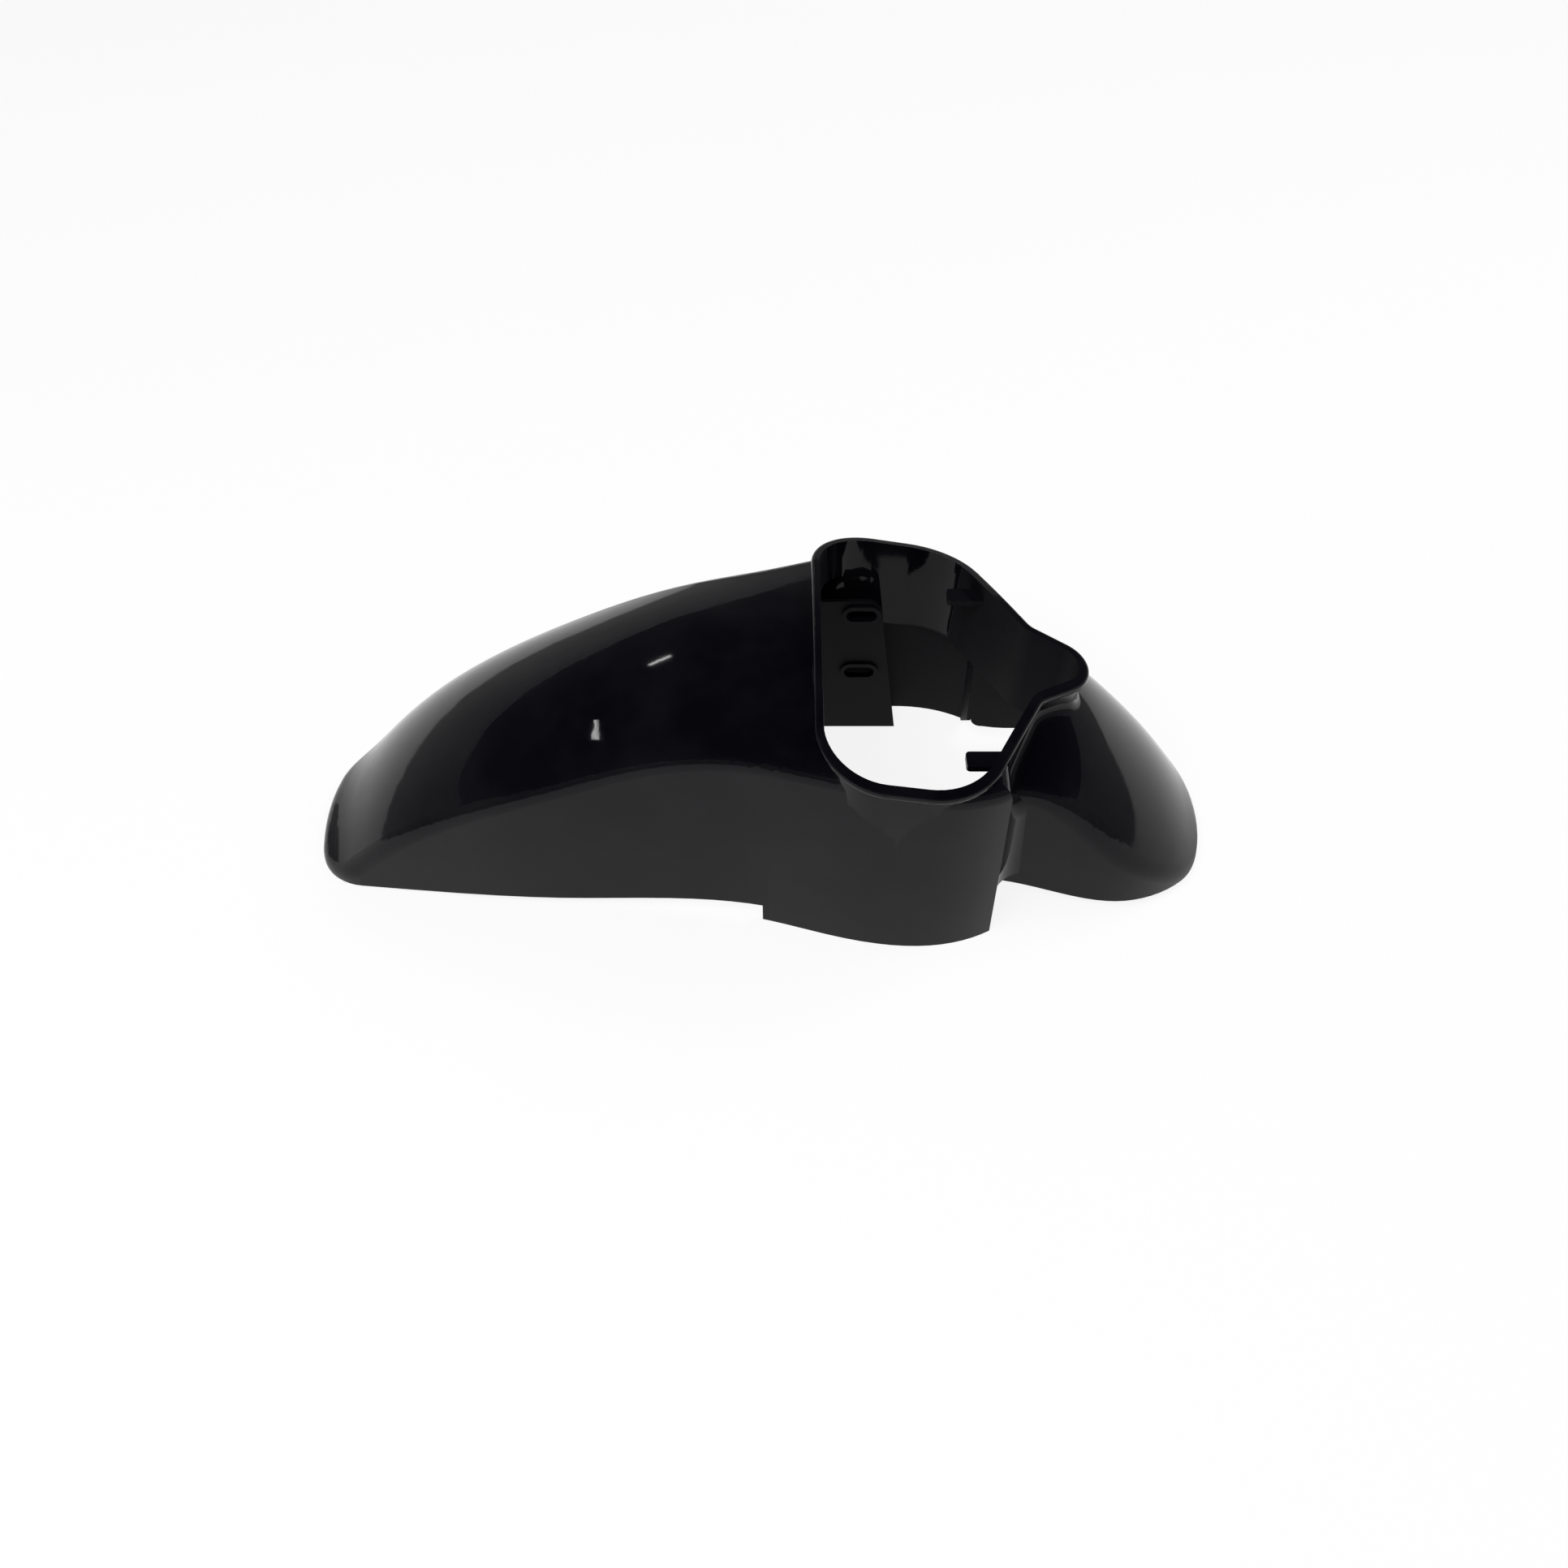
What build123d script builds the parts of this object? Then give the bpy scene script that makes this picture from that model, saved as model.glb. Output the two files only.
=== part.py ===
from build123d import *
import os

# Driving dimensions in mm. Stations along the length are shares of LENGTH from the nose.
LENGTH = 576.0
WALL = 2.6
NOSE_HALF = 56.0
NOSE_BULGE = 8.0
NOSE_CORNER_R = 37.0
SKIRT_HALF = 85.5
POD_HALF = 106.0
POD_REAR_HALF = 94.5
TAIL_HALF = 77.0
TAIL_ROOT_HALF = 69.0
CROWN_TOP = 155.0
CROWN_ARCH = 42.0
CROWN_EDGE_R = 12.0
TAIL_TOP = 129.0
TAIL_ARCH = 78.0
TAIL_EDGE_R = 16.0
TAIL_TUCK = 1.0
RIM_HEIGHT = 143.5
RIM_HALF = 110.5
RIM_ARCH = 12.0
RIM_TILT = 10.0
RIM_STEP = 3.5
COLLAR_WALL = 3.0
COLLAR_DRAFT = 0.05
COLLAR_DEPTH = 26.0
SLEEVE_DEPTH = 62.0
LIP_WIDTH = 6.0
LIP_HEIGHT = 6.0
LIP_ROUND = 2.4
LOBE_FRONT_R = 40.0
LOBE_REAR_R = 49.0
STEM_HALF = 22.5
KNEE_R = 16.0
KNEE_OFFSET = 21.0
STEM_BLEND_R = 20.0
SKIRT_LIFT = 14.0
TAIL_ROOT_LIFT = 18.0
TAIL_LIFT = 8.0
PLATE_INSET = 21.0
PLATE_WALL = 3.0
PLATE_TOP = 115.0
PLATE_CORNER_R = 10.0
PLATE_TOP_REACH = 46.0
PLATE_FOOT_REACH = 61.0
SLOT_WIDTH = 9.0
SLOT_LENGTH = 20.0
SLOT_SPACING = 50.0
SLOT_FOOT = 54.0
SLOT_REACH = 34.0
SLOT_LIP = 3.0
SLOT_LIP_HEIGHT = 1.8
TAIL_NOTCH_R = 8.0
TAB_LENGTH = 23.5
TAB_WIDTH = 12.0
TAB_THICK = 4.0
TAB_OFFSET = 71.0
TAB_BELOW_RIM = 9.0

# Stations along X, origin in the middle of the length, nose at -X.
X_NOSE = -LENGTH / 2
X_TAIL = LENGTH / 2


def at(share):
    return X_NOSE + LENGTH * share


X_STEP = at(0.503)
X_FRONT = at(0.555)
X_LOBE = at(0.650)
X_LOBE_REAR = at(0.664)
X_POD = at(0.677)
X_REAR = at(0.748)
X_KNEE = at(0.766)
X_STEM = at(0.842)
LOW = -60.0
HIGH = 2 * RIM_HEIGHT
RIM_TOP = RIM_HEIGHT + RIM_ARCH
RIM_PLANE = Plane(origin=(X_LOBE, 0, RIM_TOP)).rotated((0, RIM_TILT, 0))


# Height of the rim at a station: tilted along X and arched across Y.
def rim_z(x, y=0.0):
    normal = RIM_PLANE.z_dir
    return RIM_TOP - (x - X_LOBE) * normal.X / normal.Z - RIM_ARCH * (y / RIM_HALF) ** 2


# A part of the way from one value to another.
def between(low, high, share):
    return low + share * (high - low)


# Plan of the front body, nose to the pods' rear wall, moved inwards by inset.
def front_plan(inset):
    nose_x = X_NOSE + inset
    corner = (nose_x + NOSE_BULGE, NOSE_HALF - inset)
    rear = (X_REAR - inset, POD_REAR_HALF - inset)
    side = Spline(
        corner,
        (at(0.11), between(NOSE_HALF, SKIRT_HALF, 0.27) - inset),
        (at(0.29), between(NOSE_HALF, SKIRT_HALF, 0.64) - inset),
        (X_STEP, SKIRT_HALF - inset),
        (at(0.573), between(SKIRT_HALF, POD_HALF, 0.58) - inset),
        (X_POD, POD_HALF - inset),
        rear,
    )
    nose = ThreePointArc((corner[0], -corner[1]), (nose_x, 0), corner)
    back = Line(rear, (rear[0], -rear[1]))
    plan = make_face([side, back, mirror(side, Plane.XZ), nose])
    return fillet(plan.vertices().sort_by(Axis.X)[:2], NOSE_CORNER_R - inset)


# Plan of the tail, from inside the pods to the tail's end.
def tail_plan(inset):
    root = (X_REAR - LENGTH / 25 - inset, TAIL_ROOT_HALF - inset)
    side = Spline(
        root,
        (at(0.782), between(TAIL_ROOT_HALF, TAIL_HALF, 0.05) - inset),
        (at(0.895), TAIL_HALF - inset),
        (at(0.968) - inset, 0.76 * TAIL_HALF - inset),
        (X_TAIL + TAIL_TUCK - inset, 0),
        tangents=[(1, 0), (0, -1)],
    )
    back = Line(root, (root[0], -root[1]))
    return make_face([side, mirror(side, Plane.XZ), back])


# One crown section: an arch of given top and fall at the ends of its span, closed far below.
def arch(x, top, fall, span):
    bow = ThreePointArc((-span, top - fall), (0, top), (span, top - fall))
    walls = Polyline((span, top - fall), (span, 3 * LOW), (-span, 3 * LOW), (-span, top - fall))
    return Plane(origin=(x, 0, 0), x_dir=(0, 1, 0), z_dir=(1, 0, 0)) * make_face([bow, walls])


# Solid under the front crown, lowered by drop. Its last sections lie just under the rim.
def front_crown(drop):
    span = 1.09 * POD_HALF
    front = [
        (at(-0.05), -0.23 * CROWN_TOP, 1.4 * CROWN_ARCH),
        (at(0.0), 0.055 * CROWN_TOP, 1.5 * CROWN_ARCH),
        (at(0.03), 0.13 * CROWN_TOP, 2.1 * CROWN_ARCH),
        (at(0.071), 0.29 * CROWN_TOP, 2.35 * CROWN_ARCH),
        (at(0.20), 0.68 * CROWN_TOP, 2.2 * CROWN_ARCH),
        (at(0.304), 0.87 * CROWN_TOP, 1.65 * CROWN_ARCH),
        (at(0.42), 0.99 * CROWN_TOP, 0.95 * CROWN_ARCH),
        (at(0.53), CROWN_TOP, 0.45 * CROWN_ARCH),
    ]
    fall = rim_z(X_LOBE) - rim_z(X_LOBE, span)
    level = [(x, rim_z(x) - RIM_STEP, fall) for x in (X_LOBE, X_POD, X_REAR, X_STEM)]
    sections = front + level
    return loft([arch(x, top - drop, fall, span) for x, top, fall in sections])


# Solid under the tail's dome, lowered by drop.
def tail_crown(drop):
    sections = [
        (at(0.66), 1.02 * TAIL_TOP),
        (at(0.785), 0.965 * TAIL_TOP),
        (at(0.847), 0.83 * TAIL_TOP),
        (at(0.891), 0.645 * TAIL_TOP),
        (at(0.927), 0.47 * TAIL_TOP),
        (at(0.958), 0.30 * TAIL_TOP),
        (at(0.986), 0.13 * TAIL_TOP),
        (at(1.025), -0.02 * TAIL_TOP),
    ]
    return loft([arch(x, top - drop, TAIL_ARCH, 1.25 * TAIL_HALF) for x, top in sections])


# A plan drawn upright through the whole height.
def upright(face):
    return Pos(0, 0, LOW) * extrude(face, HIGH - LOW)


# A body under a crown, its roof edge rounded all round.
def body(plan, crown, radius):
    solid = upright(plan) & crown
    roof = [e for e in solid.edges() if e.center().Z > LOW / 4 and e.geom_type != GeomType.LINE]
    return fillet(roof, radius)


# Outline of the opening: two fork lobes, a rear wall drawn back to two knees, and a stem lobe
# behind them. Sizes are those of the lip's outer edge; grow is measured from the hole's edge.
def opening(grow):
    more = grow - LIP_WIDTH
    fronts = []
    knees = []
    for side in (-1, 1):
        front_y = side * (RIM_HALF - LOBE_FRONT_R)
        front = Pos(X_FRONT + LOBE_FRONT_R, front_y) * Circle(LOBE_FRONT_R + more)
        rear = Pos(X_LOBE_REAR, side * (RIM_HALF - LOBE_REAR_R)) * Circle(LOBE_REAR_R + more)
        knee = Pos(X_KNEE, side * KNEE_OFFSET) * Circle(KNEE_R + more)
        fronts += front.edges() + rear.edges()
        knees += knee.edges()
    end = Pos(X_STEM - STEM_HALF, 0) * Circle(STEM_HALF + more)
    outline = make_hull(fronts + knees) + make_hull(knees + end.edges())
    corners = []
    for side in (-1, 1):
        centre = Vector(X_KNEE, side * KNEE_OFFSET, 0)
        corners.append(min(outline.vertices(), key=lambda v: (v.center() - centre).length))
    return fillet(corners, STEM_BLEND_R - grow)


# Slab under the rim's arched surface, of given depth, standing above it by rise.
def under_rim(depth, rise=0.0):
    radius = (RIM_HALF**2 + RIM_ARCH**2) / (2 * RIM_ARCH)
    lie = RIM_PLANE * Pos(0, 0, -radius) * Rot(0, 90, 0)
    return lie * Cylinder(radius + rise, 3 * LENGTH) - lie * Cylinder(radius - depth, 3 * LENGTH)


# The opening's outline, grown, as a block drawn in by the draft from the rim downwards.
def funnel(grow):
    levels = [rim_z(X_TAIL) - 1.2 * SLEEVE_DEPTH, rim_z(X_FRONT) + LIP_HEIGHT]
    draws = [(z - RIM_HEIGHT) * COLLAR_DRAFT for z in levels]
    return loft([Pos(0, 0, z) * opening(grow + draw) for z, draw in zip(levels, draws)], ruled=True)


# Everything below the lower edge: skirts rise to the step, pods stay level, the tail is lifted.
def below_edge():
    notch = X_REAR + TAIL_NOTCH_R
    skirt = Polyline(
        (X_NOSE - WALL, 2 * LOW),
        (X_NOSE - WALL, 0),
        (at(0.02), 0),
        (X_STEP, SKIRT_LIFT),
        (X_STEP, 0),
        (X_REAR, 0),
        (X_REAR, TAIL_ROOT_LIFT + TAIL_NOTCH_R),
    )
    turn = RadiusArc((X_REAR, TAIL_ROOT_LIFT + TAIL_NOTCH_R), (notch, TAIL_ROOT_LIFT), -TAIL_NOTCH_R)
    edge = Spline((notch, TAIL_ROOT_LIFT), (at(0.88), TAIL_LIFT), (X_TAIL + WALL, TAIL_LIFT))
    close = Polyline((X_TAIL + WALL, TAIL_LIFT), (X_TAIL + WALL, 2 * LOW), (X_NOSE - WALL, 2 * LOW))
    face = Plane.XZ * make_face([skirt, turn, edge, close])
    return extrude(face, LENGTH, both=True)


# A shape drawn in X and Z, standing from y to y + thick.
def panel(face, y, thick):
    return extrude(Plane(origin=(0, y + thick, 0), x_dir=(1, 0, 0), z_dir=(0, -1, 0)) * face, thick)


# Bracket plate inside one pod, with two slots, their raised lips and the rib back to the pod's wall.
def bracket(limit):
    y = POD_HALF - PLATE_INSET - PLATE_WALL / 2
    top = X_FRONT + PLATE_TOP_REACH
    foot = X_FRONT + PLATE_FOOT_REACH
    hold = X_FRONT + COLLAR_WALL
    outline = Polyline(
        (X_STEP - LENGTH / 50, LOW),
        (X_STEP - LENGTH / 50, HIGH),
        (hold, HIGH),
        (hold, PLATE_TOP),
        (top, PLATE_TOP),
        (foot, 0),
        (foot, LOW),
        close=True,
    )
    face = make_face(outline)
    corner = [v for v in face.vertices() if abs(v.X - top) < 0.01 and abs(v.Y - PLATE_TOP) < 0.01]
    plate = panel(fillet(corner, PLATE_CORNER_R), y, PLATE_WALL)
    rib_top = PLATE_TOP - 2 * PLATE_CORNER_R
    share = rib_top / PLATE_TOP
    lean = between(foot, top, share)
    strip = make_face(
        Polyline(
            (lean - PLATE_WALL, rib_top),
            (lean, rib_top),
            (foot, 0),
            (foot, LOW),
            (foot - PLATE_WALL, LOW),
            (foot - PLATE_WALL, 0),
            close=True,
        )
    )
    rib = panel(strip, y, PLATE_INSET + PLATE_WALL)
    x = X_FRONT + SLOT_REACH
    spots = [Pos(x, SLOT_FOOT), Pos(x, SLOT_FOOT + SLOT_SPACING)]
    ring_length = SLOT_LENGTH + 2 * SLOT_LIP
    ring = SlotOverall(ring_length, SLOT_WIDTH + 2 * SLOT_LIP)
    slot = SlotOverall(SLOT_LENGTH, SLOT_WIDTH)
    built = plate + rib
    for spot in spots:
        built += panel(spot * ring, y - SLOT_LIP_HEIGHT, SLOT_LIP_HEIGHT + PLATE_WALL / 2)
    for spot in spots:
        built -= panel(spot * slot, y - PLATE_INSET / 2, PLATE_INSET)
    return built & limit


# Tongue on the rear wall of one pod, under the collar.
def tab():
    size = Box(TAB_LENGTH, TAB_WIDTH, TAB_THICK, align=(Align.MAX, Align.CENTER, Align.MAX))
    size = fillet(size.edges().filter_by(Axis.Z).group_by(Axis.X)[0], TAB_WIDTH / 5)
    return Pos(X_REAR - WALL / 2, TAB_OFFSET, rim_z(X_REAR, TAB_OFFSET) - TAB_BELOW_RIM) * size


# Sleeve: the collar's ring carried down round the fork lobes and the stem lobe.
def sleeve(ring):
    start = X_FRONT + LIP_WIDTH
    region = Polyline(
        (start, HIGH),
        (start, rim_z(start) - COLLAR_DEPTH),
        (start + LOBE_FRONT_R, rim_z(start) - SLEEVE_DEPTH),
        (start + LOBE_FRONT_R, LOW),
        (X_TAIL, LOW),
        (X_TAIL, HIGH),
        close=True,
    )
    wall = ring & under_rim(SLEEVE_DEPTH)
    return wall & extrude(Plane.XZ * make_face(region), LENGTH, both=True)


# Room under the sloping lower edge of the pods' rear walls.
def rear_edge_room():
    top = TAIL_ROOT_LIFT + TAIL_NOTCH_R
    inside = TAIL_ROOT_HALF - 2 * WALL
    outside = POD_REAR_HALF - 2 * WALL
    face = make_face(Polyline((inside, LOW), (inside, top), (outside, 0), (outside, LOW), close=True))
    plane = Plane(origin=(X_REAR - 2 * WALL, 0, 0), x_dir=(0, 1, 0), z_dir=(1, 0, 0))
    side = extrude(plane * face, 2 * WALL)
    return side + mirror(side, Plane.XZ)


# Shell: front body and tail, hollowed from below.
outer = body(front_plan(0), front_crown(0), CROWN_EDGE_R)
inner = body(front_plan(WALL), front_crown(WALL), CROWN_EDGE_R - WALL)
outer_tail = body(tail_plan(0), tail_crown(0), TAIL_EDGE_R)
inner_tail = body(tail_plan(WALL), tail_crown(WALL), TAIL_EDGE_R - WALL)
shell = outer + outer_tail - inner - inner_tail

# Opening cut through the crown, then its collar, the sleeve below it and the rounded lip.
hole = funnel(0)
shell = shell - (hole & under_rim(SLEEVE_DEPTH, COLLAR_DEPTH))
ring = funnel(COLLAR_WALL) - hole
collar = ring & under_rim(COLLAR_DEPTH)
lip = (upright(opening(LIP_WIDTH)) - hole) & under_rim(LIP_HEIGHT)
lip = fillet(lip.faces().sort_by(Axis.Z)[-1].edges(), LIP_ROUND)
shell = shell + collar + sleeve(ring) + lip

right = bracket(outer)
shell = shell + right + mirror(right, Plane.XZ)
tongue = tab()
shell = shell + tongue + mirror(tongue, Plane.XZ)
shell = shell - below_edge() - rear_edge_room()

# Origin in the middle of the finished length, at the level of the lower edge.
shell = Pos(-shell.bounding_box().center().X, 0, 0) * shell

os.makedirs("parts", exist_ok=True)
export_step(shell.solids()[0], "parts/mudguard_shell.step")
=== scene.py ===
"""Glossy black moulded front mudguard in a plain white studio sweep."""

import logging
import math
from dataclasses import dataclass
from enum import Enum
from typing import Any, Dict, List, Sequence, Tuple

import bmesh
import bpy
import numpy as np
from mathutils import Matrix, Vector


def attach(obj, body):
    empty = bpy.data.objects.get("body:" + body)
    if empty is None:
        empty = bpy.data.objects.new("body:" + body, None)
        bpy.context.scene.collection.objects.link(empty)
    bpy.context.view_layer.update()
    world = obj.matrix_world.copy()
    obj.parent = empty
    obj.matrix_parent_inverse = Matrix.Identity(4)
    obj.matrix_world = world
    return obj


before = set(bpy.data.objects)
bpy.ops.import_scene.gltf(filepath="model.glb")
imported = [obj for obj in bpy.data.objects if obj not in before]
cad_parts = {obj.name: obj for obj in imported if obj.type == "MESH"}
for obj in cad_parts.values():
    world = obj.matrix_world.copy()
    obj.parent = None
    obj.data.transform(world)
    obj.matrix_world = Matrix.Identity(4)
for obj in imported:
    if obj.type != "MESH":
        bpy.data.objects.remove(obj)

LOG = logging.getLogger("mudguard")
SHELL_NODE = "mudguard_shell"

Colour = Tuple[float, float, float]
Point = Tuple[float, float, float]


class RayKind(Enum):
    """The kinds of ray that are shown the plain white sweep."""

    CAMERA = "Is Camera Ray"
    GLOSSY = "Is Glossy Ray"
    TRANSMISSION = "Is Transmission Ray"


class NodeDesk:
    """A short hand for placing and wiring the nodes of one node tree."""

    def __init__(self, tree: bpy.types.NodeTree) -> None:
        """Start on an emptied tree.

        Args:
            tree: The node tree of a material or of the world.
        """
        self.tree = tree
        self.tree.nodes.clear()

    def add(self, kind: str, **settings: Any) -> bpy.types.Node:
        """Add a node.

        Args:
            kind: Blender's class name of the node.
            settings: Properties of the node; a name that is an input socket sets its default.

        Returns:
            The new node.
        """
        node = self.tree.nodes.new(kind)
        for name, value in settings.items():
            plain = name.replace("_", " ").title()
            if hasattr(node, name):
                setattr(node, name, value)
            else:
                node.inputs[plain].default_value = value
        return node

    def wire(self, source: bpy.types.NodeSocket, target: bpy.types.NodeSocket) -> None:
        """Join an output socket to an input socket."""
        self.tree.links.new(source, target)

    def sums(self, operation: str, first: Any, second: Any = 0.0) -> bpy.types.NodeSocket:
        """Add one step of arithmetic.

        Args:
            operation: Name of the Math node's operation.
            first: A socket or a number.
            second: A socket or a number.

        Returns:
            The socket that carries the result.
        """
        node = self.add("ShaderNodeMath", operation=operation)
        for slot, value in enumerate((first, second)):
            if isinstance(value, (int, float)):
                node.inputs[slot].default_value = value
            else:
                self.wire(value, node.inputs[slot])
        return node.outputs[0]

    def span(
        self, value: bpy.types.NodeSocket, low: float, high: float, to_low: float, to_high: float
    ) -> bpy.types.NodeSocket:
        """Carry a value from one range to another, held at both ends.

        Args:
            value: The socket to read.
            low: Value that gives to_low.
            high: Value that gives to_high.
            to_low: Result at low.
            to_high: Result at high.

        Returns:
            The socket that carries the result.
        """
        node = self.add("ShaderNodeMapRange", clamp=True)
        self.wire(value, node.inputs["Value"])
        names = ("From Min", "From Max", "To Min", "To Max")
        for name, number in zip(names, (low, high, to_low, to_high)):
            node.inputs[name].default_value = number
        return node.outputs["Result"]


def seen_rays(desk: NodeDesk) -> bpy.types.NodeSocket:
    """Pick out the rays that show a surface, not those that only light it.

    Args:
        desk: The node tree in hand.

    Returns:
        A socket that is 1 for camera, glossy and transmission rays, and 0 for all others.
    """
    path = desk.add("ShaderNodeLightPath")
    first, *others = (path.outputs[kind.value] for kind in RayKind)
    for other in others:
        first = desk.sums("MAXIMUM", first, other)
    return first


@dataclass(frozen=True)
class MouldedGloss:
    """Black moulding: mirror-like on the faces that show, finely textured on the hidden inner ones."""

    name: str = "gloss_black"
    deep: Colour = (0.0018, 0.0016, 0.0030)
    worn: Colour = (0.0040, 0.0038, 0.0052)
    polish: float = 0.035
    polish_spread: float = 0.040
    grain_polish: float = 0.66
    specular: float = 0.20
    waviness: float = 0.050
    peel: float = 0.020
    grain: float = 0.20
    texture_top: float = 0.082
    plate_reach: float = 0.0885
    opening_middle: float = 0.100
    ior: float = 1.46
    swell_scale: float = 11.0
    peel_scale: float = 330.0
    sand_scale: float = 1700.0
    rub_scale: float = 26.0
    swell_depth: float = 0.004
    peel_depth: float = 0.0004
    sand_depth: float = 0.0003

    def material(self) -> bpy.types.Material:
        """Build the finish on the part's own Object coordinates.

        Returns:
            The material. Three bands of noise carry it: slow sink-and-swell of the wall (about
            90 mm), the peel of the polished skin (about 3 mm) and the sand-like grain of the
            textured faces (about 0.6 mm).
        """
        made = bpy.data.materials.new(self.name)
        made.use_nodes = True
        desk = NodeDesk(made.node_tree)
        place = desk.add("ShaderNodeTexCoord").outputs["Object"]
        textured = self._textured(desk, place)

        slow = self._noise(desk, place, self.swell_scale, 2.0)
        peel = self._noise(desk, place, self.peel_scale, 2.0)
        sand = self._noise(desk, place, self.sand_scale, 1.0)
        rubs = self._noise(desk, place, self.rub_scale, 6.0)

        tint = desk.add("ShaderNodeMix", data_type="RGBA")
        desk.wire(desk.span(rubs, 0.42, 0.72, 0.0, 1.0), tint.inputs["Factor"])
        tint.inputs["A"].default_value = (*self.deep, 1.0)
        tint.inputs["B"].default_value = (*self.worn, 1.0)

        skin_rough = desk.span(rubs, 0.35, 0.75, self.polish, self.polish + self.polish_spread)
        rough = desk.add("ShaderNodeMix", data_type="FLOAT")
        desk.wire(textured, rough.inputs["Factor"])
        desk.wire(skin_rough, rough.inputs["A"])
        rough.inputs["B"].default_value = self.grain_polish

        swell = desk.add("ShaderNodeBump", strength=self.waviness, distance=self.swell_depth)
        desk.wire(slow, swell.inputs["Height"])
        skin = desk.add("ShaderNodeBump", strength=self.peel, distance=self.peel_depth)
        desk.wire(peel, skin.inputs["Height"])
        desk.wire(swell.outputs["Normal"], skin.inputs["Normal"])
        grain = desk.add("ShaderNodeBump", distance=self.sand_depth)
        desk.wire(desk.sums("MULTIPLY", textured, self.grain), grain.inputs["Strength"])
        desk.wire(sand, grain.inputs["Height"])
        desk.wire(skin.outputs["Normal"], grain.inputs["Normal"])

        shader = desk.add("ShaderNodeBsdfPrincipled")
        shader.inputs["IOR"].default_value = self.ior
        shader.inputs["Specular IOR Level"].default_value = self.specular
        desk.wire(tint.outputs["Result"], shader.inputs["Base Color"])
        desk.wire(rough.outputs["Result"], shader.inputs["Roughness"])
        desk.wire(grain.outputs["Normal"], shader.inputs["Normal"])
        out = desk.add("ShaderNodeOutputMaterial")
        desk.wire(shader.outputs[0], out.inputs["Surface"])
        return made

    def _textured(self, desk: NodeDesk, place: bpy.types.NodeSocket) -> bpy.types.NodeSocket:
        """Find the faces that the mould leaves textured.

        Args:
            desk: The node tree in hand.
            place: Coordinates on the part, in metres.

        Returns:
            A socket that is 1 on the roof's underside, on the inner walls below the sleeve, on
            the bracket plates and on the walls behind the opening, and 0 on the polished faces.
            A wall faces inwards where its level normal points towards the opening's middle.
        """
        spot = desk.add("ShaderNodeSeparateXYZ")
        desk.wire(place, spot.inputs[0])
        facing = desk.add("ShaderNodeSeparateXYZ")
        desk.wire(desk.add("ShaderNodeNewGeometry").outputs["Normal"], facing.inputs[0])
        roof = desk.span(facing.outputs["Z"], -0.25, -0.45, 0.0, 1.0)
        back = desk.sums("SUBTRACT", self.opening_middle, spot.outputs["X"])
        along = desk.sums("MULTIPLY", back, facing.outputs["X"])
        side = desk.sums("MULTIPLY", spot.outputs["Y"], facing.outputs["Y"])
        inwards = desk.span(desk.sums("SUBTRACT", along, side), 0.012, 0.030, 0.0, 1.0)
        low = desk.span(spot.outputs["Z"], self.texture_top, self.texture_top - 0.003, 0.0, 1.0)
        across = desk.sums("ABSOLUTE", spot.outputs["Y"])
        plate = desk.span(across, self.plate_reach, self.plate_reach - 0.001, 0.0, 1.0)
        walls = desk.sums("MULTIPLY", inwards, desk.sums("MAXIMUM", low, plate))
        return desk.sums("MAXIMUM", roof, walls)

    @staticmethod
    def _noise(
        desk: NodeDesk, place: bpy.types.NodeSocket, scale: float, detail: float
    ) -> bpy.types.NodeSocket:
        """Add one band of noise.

        Args:
            desk: The node tree in hand.
            place: Coordinates that the noise reads, in metres.
            scale: Waves per metre, roughly.
            detail: Number of finer bands laid over the first.

        Returns:
            The noise's value socket.
        """
        node = desk.add("ShaderNodeTexNoise")
        node.inputs["Scale"].default_value = scale
        node.inputs["Detail"].default_value = detail
        desk.wire(place, node.inputs["Vector"])
        return node.outputs[0]


@dataclass(frozen=True)
class PaleSweep:
    """Matt white floor paint that shows plain white and still takes a soft shadow."""

    name: str = "pale_sweep"
    colour: Colour = (0.86, 0.86, 0.86)
    plain_share: float = 0.88
    plain_reach: float = 1.9
    fade_reach: float = 3.1

    def material(self) -> bpy.types.Material:
        """Build the finish.

        Returns:
            The material: matt paint mixed with plain white for camera, glossy and transmission
            rays, so that a part of the shadow stays. The plain share fades out away from the
            middle, where the camera no longer looks.
        """
        made = bpy.data.materials.new(self.name)
        made.use_nodes = True
        desk = NodeDesk(made.node_tree)
        seen = seen_rays(desk)
        away = desk.add("ShaderNodeVectorMath", operation="LENGTH")
        desk.wire(desk.add("ShaderNodeTexCoord").outputs["Object"], away.inputs[0])
        near = desk.span(away.outputs["Value"], self.plain_reach, self.fade_reach, self.plain_share, 0.0)
        share = desk.sums("MULTIPLY", seen, near)
        paint = desk.add("ShaderNodeBsdfDiffuse")
        paint.inputs["Color"].default_value = (*self.colour, 1.0)
        plain = desk.add("ShaderNodeEmission")
        plain.inputs["Strength"].default_value = 1.0
        mix = desk.add("ShaderNodeMixShader")
        desk.wire(share, mix.inputs[0])
        desk.wire(paint.outputs[0], mix.inputs[1])
        desk.wire(plain.outputs[0], mix.inputs[2])
        out = desk.add("ShaderNodeOutputMaterial")
        desk.wire(mix.outputs[0], out.inputs["Surface"])
        return made


@dataclass
class MudguardShell:
    """The guard itself: one moulded node that keeps its own mesh."""

    finish: MouldedGloss = MouldedGloss()

    def dress(self, node: bpy.types.Object) -> bpy.types.Material:
        """Give the node its finish.

        Args:
            node: The shell as it was packed.

        Returns:
            The finish.
        """
        paint = self.finish.material()
        for slot in node.material_slots:
            slot.material = paint
        LOG.info("%s dressed in %s", node.name, paint.name)
        return paint


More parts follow.
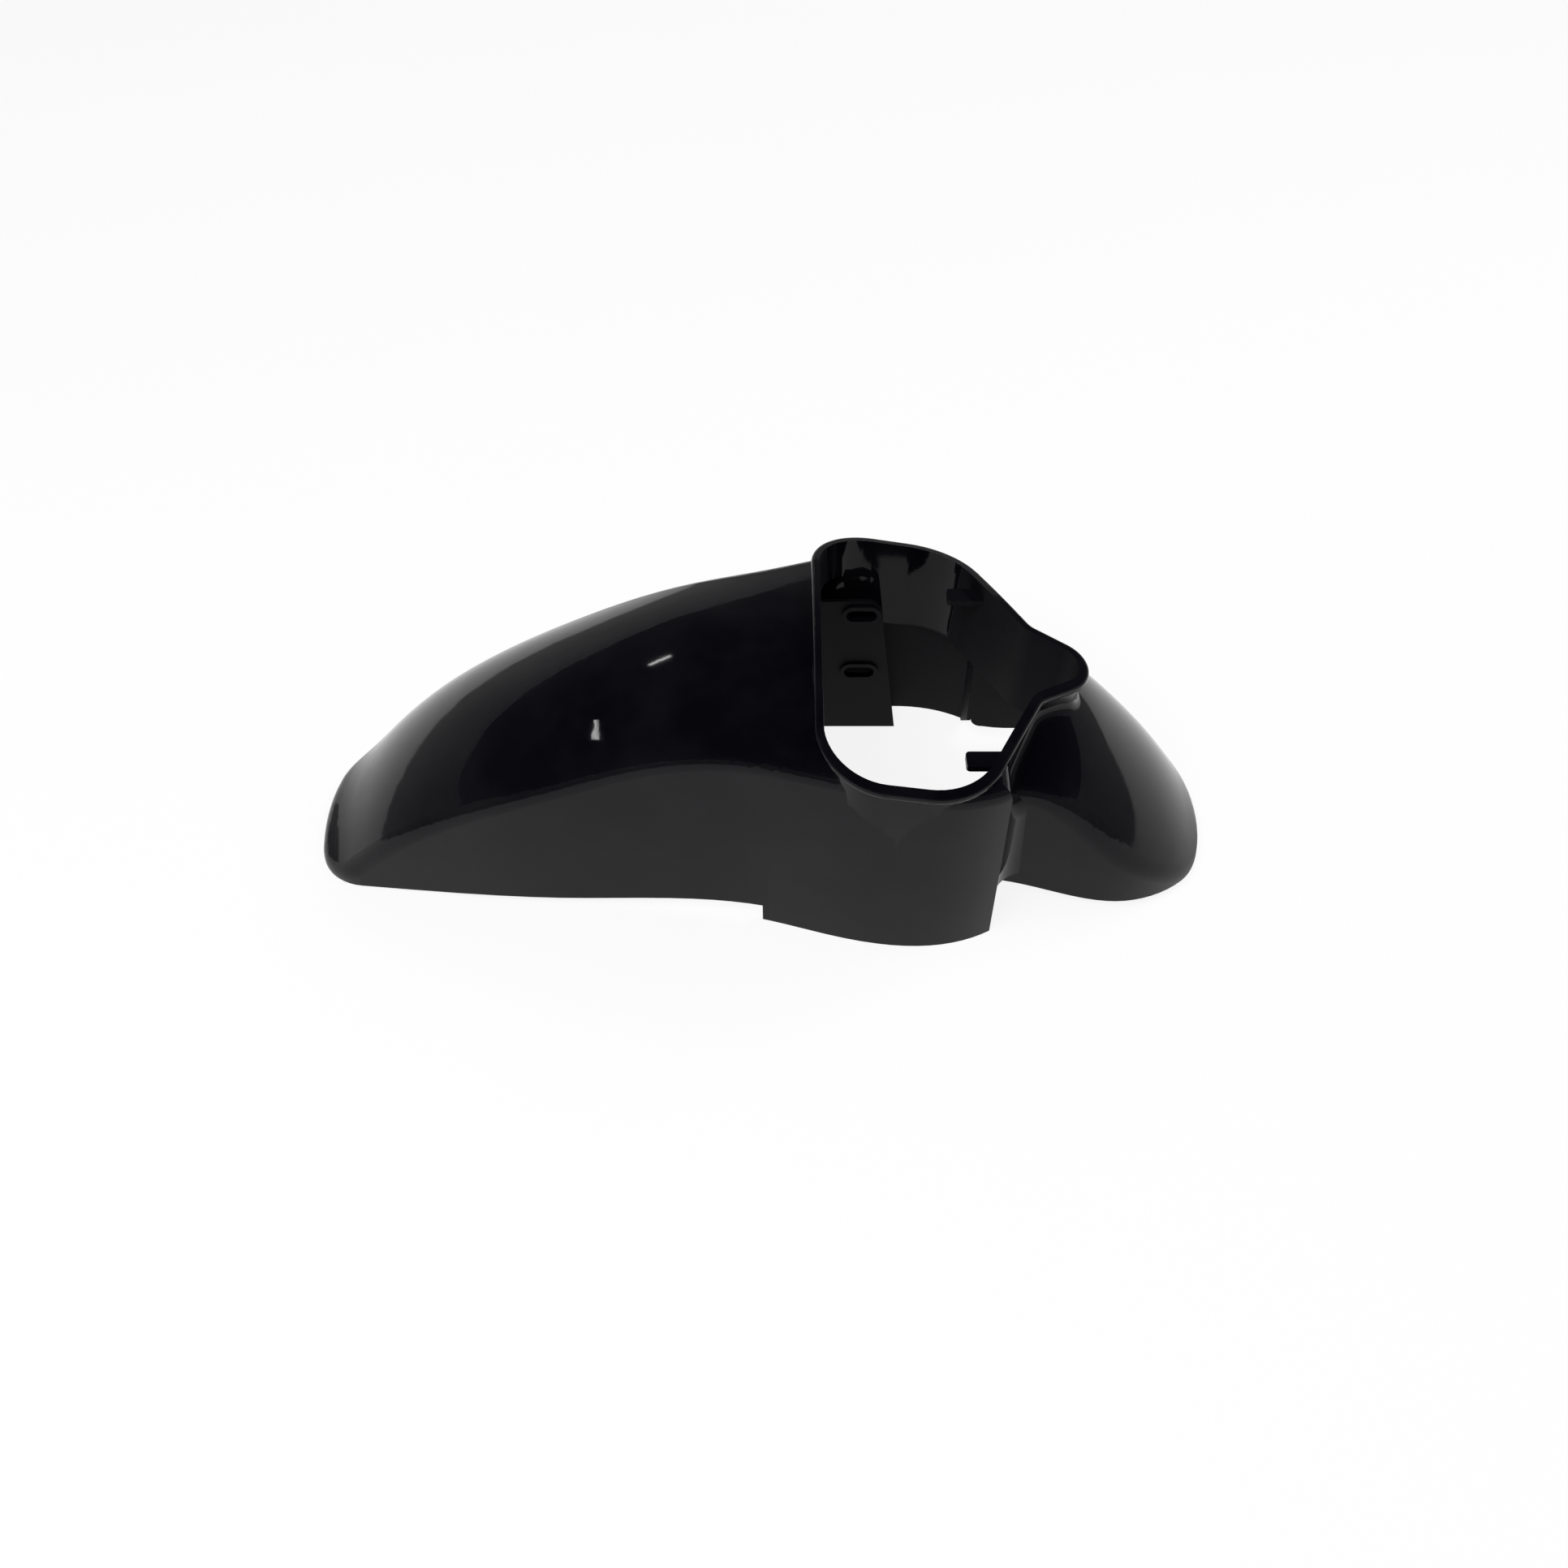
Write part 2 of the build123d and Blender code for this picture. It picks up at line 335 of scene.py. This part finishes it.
@dataclass
class NeckBlend:
    """The hollow along which the tail's skin runs into the collar and the pods' rear walls."""

    pod_radius: float = 0.024
    collar_radius: float = 0.010
    pod_top: float = 0.080
    collar_foot: float = 0.104
    sink: float = 0.00025
    root_depth: float = 0.0012
    stations: int = 200
    steps: int = 10
    evening: int = 13
    weld: float = 2e-5
    front: float = 0.1433
    turn_height: float = 0.060
    upright: float = 0.12
    looks_back: float = 0.25
    least_corner: float = 0.6
    outward: float = 0.02
    sharp_angle: float = 40.0

    def build(self, node: bpy.types.Object, paint: bpy.types.Material) -> bpy.types.Object:
        """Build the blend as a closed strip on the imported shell.

        Args:
            node: The shell as it was packed. It is only read.
            paint: The shell's own finish.

        Returns:
            The blend. A ball of the blend's radius rolls along the crease: its centre lies at
            the crease plus the radius times the sum of both normals over one plus their dot
            product, and the strip is the arc of the ball between its two touching points. One
            more point behind the crease closes each section inside the wall.
        """
        place, wall, skin = self._crease(node.data)
        risen = np.clip((place[:, 2:] - self.pod_top) / (self.collar_foot - self.pod_top), 0.0, 1.0)
        eased = risen * risen * (3.0 - 2.0 * risen)
        radius = self.pod_radius + (self.collar_radius - self.pod_radius) * eased
        lean = wall + skin
        away = lean / np.linalg.norm(lean, axis=1, keepdims=True)
        dot = (wall * skin).sum(axis=1, keepdims=True)
        centre = place + radius * lean / (1.0 + dot) - self.sink * away
        turn = np.arccos(np.clip(dot, -1.0, 1.0))[:, None]
        share = np.linspace(0.0, 1.0, self.steps + 1)[None, :, None]
        wall_part = np.sin((1 - share) * turn) * wall[:, None]
        skin_part = np.sin(share * turn) * skin[:, None]
        spoke = (wall_part + skin_part) / np.sin(turn)
        arc = centre[:, None] - radius[:, None] * spoke
        back = (place - self.root_depth * away)[:, None]
        sections = np.concatenate((back, arc), axis=1)
        return self._strip(sections, paint)

    def _crease(self, mesh: bpy.types.Mesh) -> Tuple[np.ndarray, np.ndarray, np.ndarray]:
        """Find the crease on the shell, even it out and space it evenly.

        Args:
            mesh: The shell's mesh.

        Returns:
            Points along the crease, and the normals of the wall and of the skin beside each. An
            edge belongs to the crease where an upright face that looks back meets, in a hollow
            corner, a face of the tail that looks outwards.
        """
        mesh.calc_loop_triangles()
        places = np.empty(len(mesh.vertices) * 3)
        mesh.vertices.foreach_get("co", places)
        places = places.reshape(-1, 3)
        corners = np.empty(len(mesh.loop_triangles) * 3, dtype=np.int32)
        mesh.loop_triangles.foreach_get("vertices", corners)
        grid = np.round(places / self.weld).astype(np.int64)
        _, first, same = np.unique(grid, axis=0, return_index=True, return_inverse=True)
        spots = places[first]
        faces = same.reshape(-1)[corners].reshape(-1, 3)
        a, b, c = spots[faces].transpose(1, 0, 2)
        normals = np.cross(b - a, c - a)
        normals /= np.linalg.norm(normals, axis=1, keepdims=True) + 1e-15
        middles = (a + b + c) / 3
        sides = np.sort(np.concatenate((faces[:, [0, 1]], faces[:, [1, 2]], faces[:, [2, 0]])), axis=1)
        owner = np.tile(np.arange(len(faces)), 3)
        order = np.lexsort((sides[:, 1], sides[:, 0]))
        sides, owner = sides[order], owner[order]
        pair = np.flatnonzero((sides[1:] == sides[:-1]).all(axis=1))
        wall = np.concatenate((owner[pair], owner[pair + 1]))
        skin = np.concatenate((owner[pair + 1], owner[pair]))
        ends = np.tile(sides[pair], (2, 1))
        middle = spots[ends].mean(axis=1)
        n_wall, n_skin = normals[wall], normals[skin]
        outwards = n_skin[:, 1] * middle[:, 1] + n_skin[:, 2] * self.turn_height
        keep = (
            (middle[:, 0] > self.front)
            & (np.abs(n_wall[:, 2]) < self.upright)
            & (n_wall[:, 0] > self.looks_back)
            & (np.abs((n_wall * n_skin).sum(axis=1)) < self.least_corner)
            & (outwards > self.outward)
            & (((middles[skin] - middle) * n_wall).sum(axis=1) > 0)
        )
        points = spots[ends[keep]].reshape(-1, 3)
        beside = np.repeat(np.hstack((n_wall[keep], n_skin[keep])), 2, axis=0)
        angle = np.arctan2(points[:, 2] - self.turn_height, points[:, 1])
        angle = np.where(angle < -math.pi / 2, angle + 2 * math.pi, angle)
        _, picked = np.unique(np.round(angle, 4), return_index=True)
        line = np.hstack((points, beside))[picked]
        run = np.concatenate(([0.0], np.cumsum(np.linalg.norm(np.diff(line[:, :3], axis=0), axis=1))))
        even = np.linspace(0.0, run[-1], self.stations)
        line = np.stack([np.interp(even, run, column) for column in line.T], axis=1)
        window = np.ones(self.evening) / self.evening
        padded = np.pad(line, ((self.evening // 2,) * 2, (0, 0)), mode="edge")
        calm = np.stack([np.convolve(column, window, mode="valid") for column in padded.T], axis=1)
        halves = (calm[:, 3:6], calm[:, 6:])
        n_wall, n_skin = (half / np.linalg.norm(half, axis=1, keepdims=True) for half in halves)
        LOG.info("crease of %d edges, %.0f mm long", int(keep.sum()), run[-1] * 1000)
        return line[:, :3], n_wall, n_skin

    def _strip(self, sections: np.ndarray, paint: bpy.types.Material) -> bpy.types.Object:
        """Skin the sections into one closed mesh.

        Args:
            sections: Points of each section, station by station.
            paint: The finish.

        Returns:
            The piece, riding on the root body.
        """
        count, around, _ = sections.shape
        row, step = np.meshgrid(np.arange(count - 1), np.arange(around), indexing="ij")
        after = (step + 1) % around
        here, beyond = row * around, (row + 1) * around
        quads = np.stack((here + step, here + after, beyond + after, beyond + step), axis=-1).reshape(-1, 4)
        caps = [list(range(around)), list(range((count - 1) * around, count * around))]
        mesh = bpy.data.meshes.new("neck_blend")
        mesh.from_pydata(sections.reshape(-1, 3).tolist(), [], quads.tolist() + caps)
        form = bmesh.new()
        form.from_mesh(mesh)
        bmesh.ops.recalc_face_normals(form, faces=form.faces)
        form.to_mesh(mesh)
        form.free()
        mesh.polygons.foreach_set("use_smooth", np.ones(len(mesh.polygons), dtype=bool))
        mesh.set_sharp_from_angle(angle=math.radians(self.sharp_angle))
        mesh.materials.append(paint)
        piece = bpy.data.objects.new("neck_blend", mesh)
        bpy.context.scene.collection.objects.link(piece)
        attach(piece, "root")
        return piece


@dataclass
class SoftLamp:
    """One soft lamp of the studio."""

    name: str
    place: Point
    target: Point
    size: Tuple[float, float]
    watts: float
    mirrored: bool = False

    def build(self) -> bpy.types.Object:
        """Hang the lamp and turn it to its target.

        Returns:
            The lamp object.
        """
        data = bpy.data.lights.new(self.name, "AREA")
        data.shape = "RECTANGLE"
        data.size, data.size_y = self.size
        data.energy = self.watts
        lamp = bpy.data.objects.new(self.name, data)
        lamp.location = self.place
        aim = Vector(self.target) - Vector(self.place)
        lamp.rotation_euler = aim.to_track_quat("-Z", "Y").to_euler()
        lamp.visible_glossy = self.mirrored
        bpy.context.scene.collection.objects.link(lamp)
        return lamp


@dataclass
class Studio:
    """A round white sweep, a dim room over it and soft lamps."""

    floor_radius: float = 3.4
    bend_radius: float = 1.2
    wall_top: float = 1.9
    floor_drop: float = 0.0004
    turns: int = 96
    room_low: float = 0.16
    room_high: float = 0.02
    fill: float = 0.24
    finish: PaleSweep = PaleSweep()

    def sweep(self) -> bpy.types.Object:
        """Build the floor with the wall that rises all round it.

        Returns:
            The sweep. It is a profile carried round the upright axis: flat out to the floor's
            radius, a quarter circle of the bend's radius, then straight up to the wall's top.
        """
        flat = np.array([[0.0, 0.0], [0.35, 0.0], [0.7, 0.0], [1.0, 0.0]]) * self.floor_radius
        angle = np.linspace(0.0, math.pi / 2, 13)[1:]
        bend = np.column_stack(
            (self.floor_radius + self.bend_radius * np.sin(angle), self.bend_radius * (1 - np.cos(angle)))
        )
        wall = np.array([[self.floor_radius + self.bend_radius, self.wall_top]])
        profile = np.vstack((flat[1:], bend, wall))
        around = np.linspace(0.0, 2 * math.pi, self.turns, endpoint=False)
        x = profile[:, :1] * np.cos(around)
        y = profile[:, :1] * np.sin(around)
        z = np.repeat(profile[:, 1:], self.turns, axis=1) - self.floor_drop
        points = np.stack((x, y, z), axis=-1).reshape(-1, 3)
        points = np.vstack((points, [[0.0, 0.0, -self.floor_drop]]))
        rings = len(profile)
        ring, step = np.meshgrid(np.arange(rings - 1), np.arange(self.turns), indexing="ij")
        after = (step + 1) % self.turns
        quads = np.stack(
            (
                ring * self.turns + step,
                (ring + 1) * self.turns + step,
                (ring + 1) * self.turns + after,
                ring * self.turns + after,
            ),
            axis=-1,
        ).reshape(-1, 4)
        first = np.arange(self.turns)
        centre = np.full(self.turns, len(points) - 1)
        fan = np.stack((centre, first, (first + 1) % self.turns), axis=-1)
        mesh = bpy.data.meshes.new("sweep")
        mesh.from_pydata(points.tolist(), [], quads.tolist() + fan.tolist())
        mesh.polygons.foreach_set("use_smooth", np.ones(len(mesh.polygons), dtype=bool))
        mesh.materials.append(self.finish.material())
        floor = bpy.data.objects.new("sweep", mesh)
        bpy.context.scene.collection.objects.link(floor)
        return floor

    def room(self) -> None:
        """Set the world: a dim room that darkens upwards where it is seen, and a plain fill light."""
        world = bpy.data.worlds.new("room")
        bpy.context.scene.world = world
        world.use_nodes = True
        desk = NodeDesk(world.node_tree)
        look = desk.add("ShaderNodeSeparateXYZ")
        desk.wire(desk.add("ShaderNodeTexCoord").outputs["Generated"], look.inputs[0])
        glow = desk.span(look.outputs["Z"], 0.25, 0.75, self.room_low, self.room_high)
        final = desk.add("ShaderNodeMix", data_type="FLOAT")
        desk.wire(seen_rays(desk), final.inputs["Factor"])
        final.inputs["A"].default_value = self.fill
        desk.wire(glow, final.inputs["B"])
        back = desk.add("ShaderNodeBackground")
        desk.wire(final.outputs["Result"], back.inputs["Strength"])
        out = desk.add("ShaderNodeOutputWorld")
        desk.wire(back.outputs[0], out.inputs["Surface"])

    def lamps(self) -> List[bpy.types.Object]:
        """Hang the lamps.

        Returns:
            The lamp objects.
        """
        set_up = (
            SoftLamp("key_lamp", (-1.0, -1.2, 2.3), (0.0, 0.0, 0.1), (1.6, 1.2), 60.0),
            SoftLamp("side_lamp", (1.7, 0.6, 1.9), (0.0, 0.0, 0.1), (1.2, 1.0), 28.0),
            SoftLamp("strip_lamp", (-1.55, 0.28, 1.68), (-0.09, -0.05, 0.13), (0.36, 0.03), 0.8, True),
            SoftLamp("back_lamp", (-0.65, 1.12, 1.35), (-0.04, -0.02, 0.14), (0.22, 0.04), 0.6, True),
        )
        return [lamp.build() for lamp in set_up]


@dataclass
class PhotoCamera:
    """The view that the photograph was taken from."""

    target: Point = (0.01555, 0.0, 0.0317)
    elevation: float = 48.0
    distance: float = 0.9248
    focal_share: float = 1750.0 / 1932.0
    sensor: float = 36.0

    def build(self) -> bpy.types.Object:
        """Place the camera and make it the scene's own.

        Returns:
            The camera object.
        """
        rise = math.radians(self.elevation)
        data = bpy.data.cameras.new("photo_view")
        data.sensor_width = self.sensor
        data.lens = self.focal_share * self.sensor
        camera = bpy.data.objects.new("photo_view", data)
        away = Vector((0.0, -math.cos(rise), math.sin(rise))) * self.distance
        camera.location = Vector(self.target) + away
        camera.rotation_euler = (math.pi / 2 - rise, 0.0, 0.0)
        bpy.context.scene.collection.objects.link(camera)
        bpy.context.scene.camera = camera
        return camera


def main() -> None:
    """Dress the guard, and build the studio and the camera."""
    logging.basicConfig(level=logging.INFO, format="%(name)s: %(message)s")
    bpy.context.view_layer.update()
    nodes: Dict[str, bpy.types.Object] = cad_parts
    paint = MudguardShell().dress(nodes[SHELL_NODE])
    LOG.info("blend %s", NeckBlend().build(nodes[SHELL_NODE], paint).name)
    studio = Studio()
    LOG.info("floor %s", studio.sweep().name)
    studio.room()
    for lamp in studio.lamps():
        LOG.info("lamp %s", lamp.name)
    LOG.info("camera %s", PhotoCamera().build().name)
    bpy.context.scene.view_settings.view_transform = "Standard"


if __name__ == "__main__":
    main()
